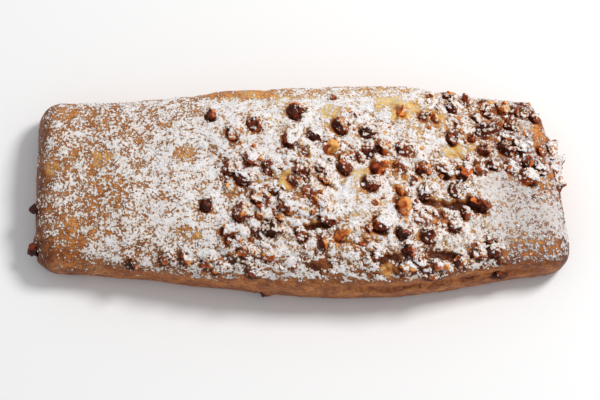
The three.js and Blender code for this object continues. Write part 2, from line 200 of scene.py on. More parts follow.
def lerp(low, high, share):
    return low + (high - low) * share


def smoothstep(value, low, high):
    share = np.clip((value - low) / (high - low), 0.0, 1.0)
    return share * share * (3 - 2 * share)


def make_draw(seed):
    """A repeatable draw from 0 to 1: each state is the last one times a factor, less whole moduli."""
    state = seed

    def draw():
        nonlocal state
        state = (state * DRAW_FACTOR) % DRAW_MODULUS
        return state / DRAW_MODULUS

    return draw


# The dough's surface, by the solid's own rule


def swell(t, at):
    reach = np.where(t < at, SWELL_REACH + at, SWELL_REACH - at)
    return 0.5 + 0.5 * np.cos(math.pi * (t - at) / reach)


def along_path(v):
    """Place along X, turn of the corner and span of the end face, at shares of the lengthwise path."""
    side = np.where(v < 0.5, -1.0, 1.0)
    from_end = PATH * np.where(v < 0.5, v, 1 - v)
    span = np.clip(from_end / END_FACE_REACH, 0, 1)
    turn = math.pi / 2 * (1 - np.clip((from_end - END_FACE_REACH) / CORNER_PATH, 0, 1))
    from_straight = np.maximum(from_end - END_FACE_REACH - CORNER_PATH, 0)
    dome = END_DOME * (1 - span * span)
    x = HALF_LENGTH - CORNER_LENGTH * (1 - np.sin(turn)) - from_straight + dome
    return side * x, 1 - np.cos(turn), span


def path_share(x):
    straight_end = HALF_LENGTH - CORNER_LENGTH
    past = min(max((abs(x) - straight_end) / CORNER_LENGTH, 0), 1)
    corner_path = CORNER_PATH * math.asin(past) / (math.pi / 2)
    from_middle = min(abs(x), straight_end) + corner_path
    return 0.5 + math.copysign(from_middle, x) / PATH


def ring_share(angle):
    """The ring share at an angle round the section, in degrees from the front waist over the top."""
    from_waist = angle if angle <= 90 else 180 - angle
    per_degree = (EDGE_SHARE if from_waist < 0 else CROWN_SHARE) / 90
    share = BASE_SHARE + EDGE_SHARE + from_waist * per_degree
    return share if angle <= 90 else 1 - share


def unevenness(x, y):
    long = np.sin(x / LONG_WAVES[0] + WAVE_STARTS[0]) * np.cos(y / LONG_WAVES[1] + WAVE_STARTS[1])
    falling = np.sin(x / SHORT_WAVES[0] - y / SHORT_WAVES[1] + WAVE_STARTS[2])
    rising = np.cos(x / SHORT_WAVES[2] + y / SHORT_WAVES[3])
    return UNEVEN * (long + SHORT_SHARE * (falling * rising))


def crease_depth(t, angle):
    depth = 0
    for crease in CREASES:
        middle = (crease["from"] + crease["to"]) / 2
        reach = (crease["to"] - crease["from"]) / 2
        fade = 1 - smoothstep(np.abs(t - middle) / reach, *CREASE_FADE)
        from_line = (angle - crease["angle"]) / crease["spread"]
        depth = depth + crease["depth"] * fade * np.exp(-(from_line**2))
    return depth


def dough_points(ring, v):
    """Points of the dough's surface: ring runs round the section and v along the path, both from 0 to 1."""
    x, corner, span = along_path(v)
    t = x / HALF_LENGTH
    inset = CORNER_INSET * corner
    rise = MIDDLE_HEIGHT - (LEFT_HEIGHT + RIGHT_HEIGHT) / 2
    end_height = lerp(LEFT_HEIGHT, RIGHT_HEIGHT, (t + 1) / 2)
    base = CORNER_BASE_LIFT * corner
    top = end_height + rise * swell(t, TOP_BULGE_AT) ** TOP_SPREAD - CORNER_DROP * corner
    front = END_WIDTH / 2 + FRONT_BULGE * swell(t, FRONT_BULGE_AT) ** FRONT_SPREAD - inset
    back = END_WIDTH / 2 + BACK_BULGE * swell(t, BACK_BULGE_AT) ** BACK_SPREAD - inset
    waist = lerp(base, top, WAIST)

    is_front = ring < 0.5
    share = np.where(is_front, ring, 1 - ring)
    reach = np.where(is_front, front, back)
    outward = np.where(is_front, -1.0, 1.0)

    base_y = (reach - EDGE_TUCK) * share / BASE_SHARE
    edge_angle = np.clip((share - BASE_SHARE) / EDGE_SHARE, 0, 1) * math.pi / 2
    edge_y = reach - EDGE_TUCK * (1 - np.sin(edge_angle))
    edge_z = lerp(base, waist, 1 - np.cos(edge_angle))

    degrees = np.clip(90 * (share - BASE_SHARE - EDGE_SHARE) / CROWN_SHARE, 0, 90)
    across = np.cos(np.radians(degrees))
    up = np.sin(np.radians(degrees))
    radius = (across**CROWN_POWER + up**CROWN_POWER) ** (-1 / CROWN_POWER)
    crown_y = outward * reach * radius * across
    turned = np.where(is_front, degrees, 180 - degrees)
    relief = up * unevenness(x, crown_y) - crease_depth(t, turned)
    crown_y = crown_y + outward * relief * across
    crown_z = lerp(waist, top, radius * up) + relief * up

    on_base = share < BASE_SHARE
    on_edge = share < BASE_SHARE + EDGE_SHARE
    y = np.where(on_base, outward * base_y, np.where(on_edge, outward * edge_y, crown_y))
    z = np.where(on_base, base, np.where(on_edge, edge_z, crown_z))

    spanned_y = lerp((back - front) / 2, y, span)
    spanned_z = lerp(lerp(base, top, END_MIDDLE), z, span)
    slant = smoothstep(t, SLANT_FROM, 1) * np.maximum(spanned_y / END_WIDTH + 0.5, 0) ** SLANT_POWER
    return np.stack((x - RIGHT_SLANT * slant, spanned_y, spanned_z), axis=-1)


def dough_point(ring, v):
    return dough_points(np.array(ring), np.array(v))


def dough_area(ring, v):
    """The outward direction at a point, as long as the area of a unit step of ring and path there."""
    step = 1e-3
    rings = np.array((ring + step, ring - step, ring, ring))
    paths = np.array((v, v, v + step, v - step))
    ahead, behind, right, left = dough_points(rings, paths)
    return np.cross(right - left, ahead - behind) / (4 * step * step)


# Where the nuts lie, by the solid's own rule


def nut_density(point, upward):
    x, y, _ = point
    shares = [
        math.exp(-((x - at_x) ** 2 + (y - at_y) ** 2) / reach**2)
        for at_x, at_y, reach in NUT_GROUPS
    ]
    return max(shares) * smoothstep(upward, *NUTS_HOLD)


def first_share(low, high, holds):
    """The share between low and high from which a test holds."""
    for _ in range(HALVINGS):
        middle = (low + high) / 2
        if holds(middle):
            high = middle
        else:
            low = middle
    return high


def top_place(x, y):
    """The ring and path shares of the crust above a place in X and Y, found by turns."""
    ring = 0.5
    v = 0.5
    for _ in range(PLACE_ROUNDS):
        v = first_share(0, 1, lambda share: dough_point(ring, share)[0] > x)
        ring = first_share(ring_share(0), ring_share(180), lambda share: dough_point(share, v)[1] > y)
    return ring, v


def scatter_nuts(draw):
    """Nuts at the listed places, and smaller ones drawn in their groups."""
    nuts = []

    def place(ring, v, size, looks=None):
        nuts.append({"ring": ring, "v": v, "size": size, "point": dough_point(ring, v), "looks": looks})

    for x, y, size, *looks in TOP_NUTS:
        place(*top_place(x, y), size, looks)
    for x, angle, size, *looks in SIDE_NUTS:
        place(ring_share(angle), path_share(x), size, looks)
    for i in range(NUT_COUNT):
        size = lerp(NUT_LARGEST, NUT_SMALLEST, (i / NUT_COUNT) ** SIZE_FALL)
        for _ in range(TRIES_PER_NUT):
            ring = lerp(ring_share(0), ring_share(180), draw())
            v = draw()
            keep = draw()
            point = dough_point(ring, v)
            away = [np.linalg.norm(nut["point"] - point) / (nut["size"] + size) for nut in nuts]
            area = dough_area(ring, v)
            length = np.linalg.norm(area)
            spread = length / WIDEST_PATCH
            if min(away) > NUT_CLEARANCE / 2 and keep < spread * nut_density(point, area[2] / length):
                place(ring, v, size)
                break
    return nuts


def draw_direction(draw):
    up = lerp(-1, 1, draw())
    around = 2 * math.pi * draw()
    across = math.sqrt(1 - up * up)
    return np.array((across * math.cos(around), across * math.sin(around), up))


def nut_faces(draw):
    """Directions of a nut piece's flat faces, and their distances from its middle in half sizes."""
    normals = []
    depths = []
    for toward, reach in NUT_FACES:
        normal = np.array(toward) / np.linalg.norm(toward) + NUT_LEAN * draw_direction(draw)
        normals.append(normal / np.linalg.norm(normal))
        depths.append(lerp(*reach, draw()))
    return np.array(normals), np.array(depths)


def nut_frames(nuts, draw):
    """Adds to each nut its flat faces and half sizes, in its own axes, and how it sits on the crust."""
    for nut in nuts:
        proportions = np.array((1, lerp(*NUT_WIDTHS, draw()), lerp(*NUT_HEIGHTS, draw())))
        nut["half"] = nut["size"] / 2 * proportions
        nut["faces"] = nut_faces(draw)
        tip = (lerp(-NUT_TIP, NUT_TIP, draw()), lerp(-NUT_TIP, NUT_TIP, draw()), 2 * math.pi * draw())
        area = dough_area(nut["ring"], nut["v"])
        normal = area / np.linalg.norm(area)
        lean = Vector((0, 0, 1)).rotation_difference(Vector(normal)).to_matrix()
        nut["turn"] = np.array(lean @ Euler(tip, "ZYX").to_matrix())
        nut["seat"] = nut["point"] + normal * NUT_LIFT * nut["size"]
    return nuts


# Camera, light and floor: places and sizes in metres, lens and sensor in mm

VIEW_ELEVATION = math.radians(70)
CAMERA_DISTANCE = 0.9
LENS = 185.0
SENSOR_WIDTH = 36.0
AIM = Vector((-0.9, -1.35, -0.5)) * MM
KEY_PLACE = Vector((0.48, 0.27, 0.7))
KEY_SIZE = 0.26
KEY_WATTS = 5.3
KEY_COLOUR = (1.0, 0.99, 0.97)
SKY_COLOUR = (0.97, 0.98, 1.0, 1.0)
SKY_STRENGTH = 0.5
FLOOR_REACH = 1.6
FLOOR_COLOUR = (0.97, 0.97, 0.97, 1.0)
FLOOR_ROUGHNESS = 0.9
FLOOR_SHINE = 0.1


def add_camera():
    camera = bpy.data.objects.new("camera", bpy.data.cameras.new("camera"))
    camera.data.lens = LENS
    camera.data.sensor_width = SENSOR_WIDTH
    toward = Vector((0, -math.cos(VIEW_ELEVATION), math.sin(VIEW_ELEVATION)))
    camera.location = AIM + toward * CAMERA_DISTANCE
    camera.rotation_euler = (-toward).to_track_quat("-Z", "Y").to_euler()
    bpy.context.scene.collection.objects.link(camera)
    bpy.context.scene.camera = camera


def add_key_light():
    light = bpy.data.lights.new("key_light", "AREA")
    light.shape = "DISK"
    light.size = KEY_SIZE
    light.energy = KEY_WATTS
    light.color = KEY_COLOUR
    lamp = bpy.data.objects.new("key_light", light)
    lamp.location = KEY_PLACE
    lamp.rotation_euler = (-KEY_PLACE).to_track_quat("-Z", "Y").to_euler()
    bpy.context.scene.collection.objects.link(lamp)


def add_sky():
    world = bpy.data.worlds.new("studio")
    world.use_nodes = True
    background = world.node_tree.nodes["Background"]
    background.inputs["Color"].default_value = SKY_COLOUR
    background.inputs["Strength"].default_value = SKY_STRENGTH
    bpy.context.scene.world = world
    bpy.context.scene.view_settings.view_transform = "Standard"


def add_floor():
    mesh = bpy.data.meshes.new("floor")
    signs = [(-1, -1, 0), (1, -1, 0), (1, 1, 0), (-1, 1, 0)]
    mesh.from_pydata([Vector(sign) * FLOOR_REACH for sign in signs], [], [(0, 1, 2, 3)])
    floor = bpy.data.objects.new("floor", mesh)
    graph = Graph("pale_floor")
    graph.surface({
        "Base Color": FLOOR_COLOUR,
        "Roughness": FLOOR_ROUGHNESS,
        "Specular IOR Level": FLOOR_SHINE,
    })
    mesh.materials.append(graph.material)
    bpy.context.scene.collection.objects.link(floor)


# Materials

# Places of the mixing node's colour sockets, whose names other sockets of that node have too
MIX_SHARE = 0
MIX_FIRST = 6
MIX_SECOND = 7
MIX_RESULT = 2


def srgb(red, green, blue):
    """An 8-bit screen colour as the linear colour that a shader takes."""
    shares = np.array((red, green, blue)) / 255
    linear = np.where(shares <= 0.04045, shares / 12.92, ((shares + 0.055) / 1.055) ** 2.4)
    return (*linear.tolist(), 1.0)


class Graph:
    """A material's nodes. Sockets are fed by name or place, with a constant or another node's output."""

    def __init__(self, name):
        self.material = bpy.data.materials.new(name)
        self.material.use_nodes = True
        self.tree = self.material.node_tree
        self.tree.nodes.clear()

    def node(self, kind, sockets, **settings):
        made = self.tree.nodes.new("ShaderNode" + kind)
        for key, value in settings.items():
            setattr(made, key, value)
        for key, value in sockets.items():
            if isinstance(value, bpy.types.NodeSocket):
                self.tree.links.new(value, made.inputs[key])
            else:
                made.inputs[key].default_value = value
        return made

    def attribute(self, name):
        return self.node("Attribute", {}, attribute_name=name).outputs["Fac"]

    def noise(self, size, detail=3.0, roughness=0.6):
        """Noise with features of about that size in mm, from 0 to 1."""
        place = self.node("TexCoord", {}).outputs["Object"]
        sockets = {"Vector": place, "Scale": 1 / (size * MM), "Detail": detail, "Roughness": roughness}
        return self.node("TexNoise", sockets).outputs["Fac"]

    def math(self, operation, first, second):
        return self.node("Math", {0: first, 1: second}, operation=operation).outputs[0]

    def add_scaled(self, base, value, scale):
        """base plus scale times the value's departure from one half."""
        shifted = self.math("SUBTRACT", value, 0.5)
        return self.node("Math", {0: shifted, 1: scale, 2: base}, operation="MULTIPLY_ADD").outputs[0]

    def weighed(self, first, first_weight, second, second_weight):
        """The sum of two values, each times its weight."""
        products = (self.math("MULTIPLY", first, first_weight), self.math("MULTIPLY", second, second_weight))
        return self.math("ADD", *products)

    def steps(self, value, low, high):
        """A smooth rise from 0 at low to 1 at high."""
        sockets = {"Value": value, "From Min": low, "From Max": high}
        return self.node("MapRange", sockets, interpolation_type="SMOOTHSTEP").outputs["Result"]

    def mix(self, share, first, second, blend="MIX"):
        sockets = {MIX_SHARE: share, MIX_FIRST: first, MIX_SECOND: second}
        return self.node("Mix", sockets, data_type="RGBA", blend_type=blend).outputs[MIX_RESULT]

    def between(self, share, low, high):
        """A number that runs from low to high as the share runs from 0 to 1."""
        return self.node("MapRange", {"Value": share, "To Min": low, "To Max": high}).outputs["Result"]

    def ramp(self, value, stops):
        made = self.node("ValToRGB", {0: value})
        elements = made.color_ramp.elements
        elements[0].position, elements[0].color = stops[0]
        elements[1].position, elements[1].color = stops[-1]
        for position, colour in stops[1:-1]:
            elements.new(position).color = colour
        return made.outputs["Color"]

    def bump(self, height, distance, strength):
        """Normals of a relief whose height of 1 is that distance in mm."""
        sockets = {"Height": height, "Distance": distance * MM, "Strength": strength}
        return self.node("Bump", sockets).outputs["Normal"]

    def surface(self, sockets):
        shader = self.node("BsdfPrincipled", sockets)
        self.node("OutputMaterial", {"Surface": shader.outputs["BSDF"]})


# Colours from least to most browned, and of sugar from thinnest to thickest
CRUST_COLOURS = [
    (0.0, srgb(240, 219, 156)),
    (0.28, srgb(226, 178, 100)),
    (0.52, srgb(204, 132, 70)),
    (0.75, srgb(150, 84, 42)),
    (1.0, srgb(80, 35, 19)),
]
NUT_COLOURS = [
    (0.0, srgb(244, 186, 106)),
    (0.3, srgb(224, 128, 52)),
    (0.55, srgb(186, 82, 34)),
    (0.78, srgb(126, 46, 22)),
    (1.0, srgb(54, 21, 12)),
]
SUGAR_COLOURS = [
    (0.0, srgb(212, 174, 132)),
    (0.42, srgb(230, 218, 208)),
    (1.0, srgb(240, 237, 238)),
]
# Grey of thin sugar, which at the right end is painted shade for the dimmer light there
DIMMED_THIN_SUGAR = srgb(200, 192, 188)
# Painted shade multiplied into the narrow gaps between sugar, as if the sugar round them shadowed them
PAINTED_GAP_SHADE = srgb(134, 90, 76)
CLUMP_COLOURS = (srgb(220, 218, 222), srgb(240, 238, 238))

# Dusting: sizes in mm, depths for plain and for thin sugar, and thickness of sugar at the ends of each fade
DRIFT_DEPTHS = (1.4, 0.5)
SMUDGE_SIZE = 1.3
SMUDGE_SHARE = 0.6
SPECK_SIZE = 0.75
THIN_SPECK_SHARE = 0.55
SUGAR_EDGE = (0.38, 0.64)
NARROW_GAP = (0.2, 0.5)
SHADED_BROWNING = (0.15, 0.5)
DEEP_FROM = 0.5
BARE_AND_DUSTED_ROUGHNESS = (0.5, 0.95)

# Crust: sizes in mm of mottle, grain and sugar drifts, how strong they and the specks are, and the relief
CRUST_MOTTLE_SIZE = 4.0
CRUST_MOTTLE = 0.8
CRUST_GRAIN_SIZE = 0.9
CRUST_GRAIN = 0.6
CRUST_DRIFT_SIZE = 2.3
CRUST_SPECKS = 2.5
CRUST_SUGAR_RISE = 0.9
CRUST_GRAIN_RISE = 0.5
CRUST_RELIEF = 0.22
CRUST_BUMP = 0.7
CRUST_SHINE = 0.2

# Nuts: the same
NUT_MOTTLE_SIZE = 1.6
NUT_MOTTLE = 0.6
NUT_GRAIN_SIZE = 0.4
NUT_GRAIN = 0.4
NUT_DRIFT_SIZE = 1.3
NUT_SPECKS = 1.0
NUT_SUGAR_RISE = 0.8
NUT_MOTTLE_RISE = 0.8
NUT_RELIEF = 0.25
NUT_BUMP = 0.8
NUT_SHINE = 0.22

# Clumps of sugar
CLUMP_GRAIN_SIZE = 0.3
CLUMP_ROUGHNESS = (0.85, 1.0)
CLUMP_RELIEF = 0.1
CLUMP_BUMP = 0.6
CLUMP_SHINE = 0.2


def dusted(graph, bare, browning_and_shade, drift_size, specks):
    """A colour with icing sugar on it, and where the sugar lies.

    The cover worked out for each vertex is broken up into drifts of that size in mm and into specks, as
    strong as the last number says. Thin sugar is smudged and greyer, and at the right end that grey is
    painted shade for the dimmer light there. Narrow gaps get painted shade, as if the sugar shadowed them.
    """
    thin_and_dimmed = graph.attribute("thin_and_dimmed")
    drift = graph.noise(drift_size, detail=2.0, roughness=0.5)
    drifts = graph.add_scaled(graph.attribute("sugar"), drift, graph.between(thin_and_dimmed, *DRIFT_DEPTHS))
    smudging = graph.between(thin_and_dimmed, 0.0, SMUDGE_SHARE * specks)
    smudges = graph.add_scaled(drifts, graph.noise(SMUDGE_SIZE), smudging)
    speckling = graph.between(thin_and_dimmed, specks, THIN_SPECK_SHARE * specks)
    thickness = graph.add_scaled(smudges, graph.noise(SPECK_SIZE), speckling)
    mask = graph.steps(thickness, *SUGAR_EDGE)
    # Painted shade: narrow gaps in browned crust or nut are darkened
    narrow = graph.steps(thickness, *NARROW_GAP)
    painted_shading = graph.math("MULTIPLY", narrow, graph.steps(browning_and_shade, *SHADED_BROWNING))
    gaps = graph.mix(painted_shading, bare, PAINTED_GAP_SHADE, "MULTIPLY")
    depth = graph.node("MapRange", {"Value": thickness, "From Min": DEEP_FROM}).outputs["Result"]
    sugar = graph.mix(thin_and_dimmed, graph.ramp(depth, SUGAR_COLOURS), DIMMED_THIN_SUGAR)
    return graph.mix(mask, gaps, sugar), mask


def crust_material():
    graph = Graph("baked_crust")
    mottle = graph.noise(CRUST_MOTTLE_SIZE, detail=4.0, roughness=0.65)
    grain = graph.noise(CRUST_GRAIN_SIZE, detail=4.0, roughness=0.65)
    # The bake_and_shade attribute also carries painted shade in the hollows and by the nuts
    mottled = graph.add_scaled(graph.attribute("bake_and_shade"), mottle, CRUST_MOTTLE)
    browning_and_shade = graph.add_scaled(mottled, grain, CRUST_GRAIN)
    bare = graph.ramp(browning_and_shade, CRUST_COLOURS)
    colour, mask = dusted(graph, bare, browning_and_shade, CRUST_DRIFT_SIZE, CRUST_SPECKS)
    relief = graph.weighed(mask, CRUST_SUGAR_RISE, grain, CRUST_GRAIN_RISE)
    graph.surface({
        "Base Color": colour,
        "Roughness": graph.between(mask, *BARE_AND_DUSTED_ROUGHNESS),
        "Specular IOR Level": CRUST_SHINE,
        "Normal": graph.bump(relief, CRUST_RELIEF, CRUST_BUMP),
    })
    return graph.material


def nut_material():
    graph = Graph("roasted_nut")
    mottle = graph.noise(NUT_MOTTLE_SIZE)
    grain = graph.noise(NUT_GRAIN_SIZE)
    # The roast attribute also carries painted shade on the nuts' shadow sides and in their grooves
    mottled = graph.add_scaled(graph.attribute("roast"), mottle, NUT_MOTTLE)
    roast = graph.add_scaled(mottled, grain, NUT_GRAIN)
    bare = graph.ramp(roast, NUT_COLOURS)
    colour, mask = dusted(graph, bare, roast, NUT_DRIFT_SIZE, NUT_SPECKS)
    relief = graph.weighed(mask, NUT_SUGAR_RISE, mottle, NUT_MOTTLE_RISE)
    graph.surface({
        "Base Color": colour,
        "Roughness": graph.between(mask, *BARE_AND_DUSTED_ROUGHNESS),
        "Specular IOR Level": NUT_SHINE,
        "Normal": graph.bump(relief, NUT_RELIEF, NUT_BUMP),
    })
    return graph.material


def sugar_material():
    graph = Graph("icing_sugar")
    grain = graph.noise(CLUMP_GRAIN_SIZE)
    graph.surface({
        "Base Color": graph.mix(grain, *CLUMP_COLOURS),
        "Roughness": graph.between(grain, *CLUMP_ROUGHNESS),
        "Specular IOR Level": CLUMP_SHINE,
        "Normal": graph.bump(grain, CLUMP_RELIEF, CLUMP_BUMP),
    })
    return graph.material


# Making of the meshes

LEAST_LENGTH = 1e-12

# Seed of the noise directions, which would change from run to run without it
WARP_SEED = 611

# Fractal noise: how fast its octaves weaken and shrink, and how many there are
OCTAVE_FALL = 1.0
OCTAVE_RATIO = 2.0
OCTAVES = 3

# At the ends every ring shrinks to one point, so any share gives it
POLE_RING = 0.25


def make_mesh(name, points, faces, values, material):
    """A smooth mesh that rides the root body, from points in mm, with named numbers for each point."""
    mesh = bpy.data.meshes.new(name)
    mesh.from_pydata((points * MM).tolist(), [], faces)
    mesh.shade_smooth()
    for key, value in values.items():
        mesh.attributes.new(key, "FLOAT", "POINT").data.foreach_set("value", value.astype(np.float32))
    mesh.materials.append(material)
    piece = bpy.data.objects.new(name, mesh)
    bpy.context.scene.collection.objects.link(piece)
    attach(piece, "root")
    return piece


def point_normals(points, triangles):
    """Outward directions at the points of a mesh of triangles."""
    corners = points[triangles]
    crossed = np.cross(corners[:, 1] - corners[:, 0], corners[:, 2] - corners[:, 0])
    normals = np.zeros_like(points)
    for i in range(3):
        np.add.at(normals, triangles[:, i], crossed)
    return normals / np.maximum(np.linalg.norm(normals, axis=1, keepdims=True), LEAST_LENGTH)


def wave(points, size):
    """Fractal noise at points in mm, with features of about that size, around 0."""
    scaled = (points / size).tolist()
    return np.array([noise.fractal(point, OCTAVE_FALL, OCTAVE_RATIO, OCTAVES) for point in scaled])


def ripples(points, waves):
    """The sum of waves that are given as pairs of height and size."""
    return sum(height * wave(points, size) for height, size in waves)


def bends(points):
    """Noise directions at points, for warping a pattern."""
    return np.array([noise.noise_vector(point) for point in points.tolist()])


def crust_grid():
    """Points of the fine crust, its faces (quads, with triangles at the two poles), and all as triangles."""
    crown_start = BASE_SHARE + EDGE_SHARE
    half = np.concatenate((
        np.linspace(0, BASE_SHARE, FINE_BASE_STEPS, endpoint=False),
        np.linspace(BASE_SHARE, crown_start, FINE_EDGE_STEPS, endpoint=False),
        np.linspace(crown_start, 0.5, FINE_CROWN_STEPS, endpoint=False),
    ))
    rings = np.concatenate((half, (0.5,), 1 - half[:0:-1]))
    columns = round(PATH / FINE_ALONG_STEP)
    paths = np.linspace(0, 1, columns + 1)[1:-1]
    ring_grid, path_grid = np.meshgrid(rings, paths)
    points = dough_points(ring_grid, path_grid).reshape(-1, 3)
    poles = dough_points(np.full(2, POLE_RING), np.array((0.0, 1.0)))
    count = len(rings)
    here = np.arange(count)
    after = (here + 1) % count
    faces = []
    for row in range(len(paths) - 1):
        low = row * count
        high = low + count
        faces.append(np.stack((low + here, low + after, high + after, high + here), axis=1))
    quads = np.concatenate(faces)[:, ::-1]
    left_pole = len(points)
    right_pole = left_pole + 1
    last = (len(paths) - 1) * count
    caps = [(left_pole, int(a), int(b)) for a, b in zip(here, after)]
    caps += [(right_pole, last + int(b), last + int(a)) for a, b in zip(here, after)]
    triangles = np.concatenate((quads[:, (0, 1, 2)], quads[:, (0, 2, 3)], np.array(caps)))
    return np.concatenate((points, poles)), quads.tolist() + caps, triangles


# Crust

# Patches of the crust that the sugar misses: middle and half-widths in mm, how bare the patch is, and how
# much paler (or browner, below 0) its crust
BARE_PATCHES = [
    (8.5, 17.5, 4.5, 3, 0.38, 0.6),
    (24.5, 20.6, 5.4, 3.2, 0.5, 0.5),
    (28, 16.2, 4, 1.8, 0.56, 0.6),
    (31, 19.2, 3.6, 2.2, 0.55, 0.4),
    (37, 15.5, 5, 3.4, 0.44, 0.5),
    (43.5, 5.3, 5, 2.5, 0.4, 0.85),
    (-5, -4.4, 2.6, 3.2, 0.5, 0.9),
    (16.5, -2.5, 3.2, 2.6, 0.4, 0.9),
    (23.8, -29.5, 3, 1.8, 0.55, 0.5),
    (5, -27.8, 3.8, 1.8, 0.8, -0.5),
    (-33.7, 5, 4, 3.4, 0.36, 0.3),
    (-33.4, -19, 4.6, 2.2, 0.45, 0.3),
    (-57.6, 4.2, 4, 3.2, 0.55, 0.25),
    (-72, 2.5, 2.4, 2.6, 0.6, 0.4),
    (-70, 20, 5, 2.8, 0.6, 0.2),
    (-70, -22, 8, 7, 0.75, -0.1),
    (67.6, 13.5, 2.4, 6, 0.7, -0.1),
    (68, -25, 13, 8, 0.4, -0.1),
    (55, 18, 9, 4, 0.15, -0.1),
]
PATCH_RIPPLES = [(0.35, 3.0)]
PATCH_EDGE = (0.55, 1.15)

# Clefts between lumps, darkened with painted shade: middle in mm, half-length and half-width in mm, turn in
# degrees and depth in mm
CLEFTS = [
    (4, -17.8, 6.0, 1.0, 8, 1.8),
    (0, -21.2, 1.8, 1.0, 8, 1.2),
    (20.8, -17.2, 1.6, 2.4, 0, 1.6),
    (24.4, -26.6, 3.4, 1.2, 15, 1.6),
    (45, -11.2, 7.5, 1.3, -3, 1.8),
    (39.5, -25.4, 5.0, 1.1, 0, 1.4),
    (35.6, -10, 3.6, 1.1, -25, 1.4),
]
CLEFT_RIPPLES = [(0.8, 3.0), (0.5, 1.1)]
CLEFT_POWER = 4
CLEFT_LOWEST = 5.0

# The sugar was sifted from the back right, so what faces away from there stays bare
SIFTED_FROM = np.array((0.34, 0.26, 0.9))
SUGAR_FROM = SIFTED_FROM / np.linalg.norm(SIFTED_FROM)
CRUST_FACING = np.array((0.1, 0.26, 0.96))
# Direction of the shadow side, away from the key light at the back right, where painted shade goes on the
# nuts, their crevices and between lumps
SHADOW_SIDE = np.array((-0.8, -0.6, 0.0))

# Crust beside the nuts, in mm and in shares of a nut's size, and its crevices on their shadow sides, which
# get painted shade
FAR_FROM_NUTS = 99.0
NUT_NEAR = 1.2
NUT_MEAN_REACH = 0.9
NUT_CORE = -0.3
CREVICE_REACH = 1.0
CREVICE_SHADOW_SIDE = (-0.2, 0.6)
CREVICE_SHADES = (0.4, 1.0)
USUAL_ROAST = 0.6

# Lumps of dough in the field among the nuts, in mm and in shares; the clefts between them get painted shade,
# most on the shadow side
LUMP_SIZE = 4.4
LUMP_WARP = 1.6
LUMP_WARP_RATE = 1.7
LUMP_EDGE = 0.38
LUMP_SINK = 0.6
LUMP_CLEFT = 0.35
LUMP_SHADOW_SIDE = (-0.1, 0.4)
LUMP_SHADES = (0.25, 0.8)
FIELD_REACH = 1.5
FIELD_HOLD = (0.3, 0.75)

# Relief of the crust, in mm
CRUST_RIPPLES = [(0.35, 7.0), (0.1, 1.5)]
SKIRT_REACH = 1.4
SKIRT_RISE = 0.8
CREVICE_DEPTH = 0.7
RELIEF_ABOVE = (0.6, 3.0)
SUGAR_DEPTH = 0.15

# Places along the pastry in mm, and there: the share of the top under sugar, how much further down the front
# shoulder it reaches, its specks lower on the sides, and how bare the back edge is
TOP_SUGAR = ((-76, -62, -45, -18, 0, 46, 60), (0.48, 0.52, 0.66, 0.86, 0.86, 0.83, 0.66))
SHOULDER_SUGAR = ((-66, -46, -26, -10, 10, 30, 50), (0.0, 0.54, 0.58, 0.32, 0.24, 0.36, 0.4))
SIDE_SPECKS = ((-60, -20, 50, 66), (0.14, -0.16, -0.16, 0.06))
BARE_BACK = ((-38, -30, -12, -2, 34, 42), (0.0, 0.66, 0.55, 0.25, 0.2, 0.0))

# Ends of the fades of sugar in mm, and how steep a crust still holds it
SHOULDER_ACROSS = (-15, -5)
SHOULDER_ABOVE = (7, 12)
BACK_EDGE = (21.8, 24.6)
FRONT_SIDE = (20, 26)
FRONT_SIDE_AT = 25
FRONT_SIDE_ENDS = (42, 56)
FRONT_SIDE_LIFT = 4
SUGAR_ABOVE = (6, 11)
SPECKS_ABOVE = (3, 9)
SUGAR_HOLD = (0.36, 0.78)

# Unevenness of the sugar, which is thin and even at the right end and greyed there as painted shade for the
# dimmer light, and its loss beside nuts and in hollows
HOLD_RIPPLES = [(0.14, 3.2), (0.1, 1.3)]
COVER_RIPPLES = [(0.2, 9.0), (0.15, 3.5)]
EVEN_END = (44, 60)
EVENNESS = 0.85
THIN_AND_DIM_END = (46, 60)
THIN_AND_DIM_SHARE = 0.85
PALE_THINNESS = 0.35
BESIDE_NUTS = 0.1
BESIDE_REACH = 1.2
HOLLOW_SUGAR = -0.2
HOLLOW_SHARE = 0.95

# How brown the crust is, what each place adds to that, and the ends of their fades in mm. The rim by the
# nuts is partly painted contact shade, and the hollows add painted shade.
BAKE = {"plain": 0.65, "top": -0.07, "middle": -0.28, "low": 0.1, "front": 0.05, "ends": 0.2, "rim": 0.25}
PALE_BAKE = 0.1
HOLLOW_PAINTED_SHADE = 0.72
MIDDLE_FROM = (-40, -5)
MIDDLE_TO = (46, 62)
MIDDLE_LOSS = 0.5
TOP_ABOVE = (12, 18)
TOP_ACROSS = (-31, -20)
LOW_BELOW = (1.5, 8)
FRONT_ACROSS = (-29, -24)
ENDS_PAST = (70, 77)
RIM_REACH = 0.7


def patch_shares(points):
    """How bare and how pale the patches make each point."""
    bare = np.zeros(len(points))
    pale = np.zeros(len(points))
    edge = ripples(points, PATCH_RIPPLES)
    for x, y, half_x, half_y, bareness, paleness in BARE_PATCHES:
        away = np.hypot((points[:, 0] - x) / half_x, (points[:, 1] - y) / half_y) + edge
        inside = 1 - smoothstep(away, *PATCH_EDGE)
        bare = np.maximum(bare, bareness * inside)
        pale = pale + paleness * inside
    return bare, pale


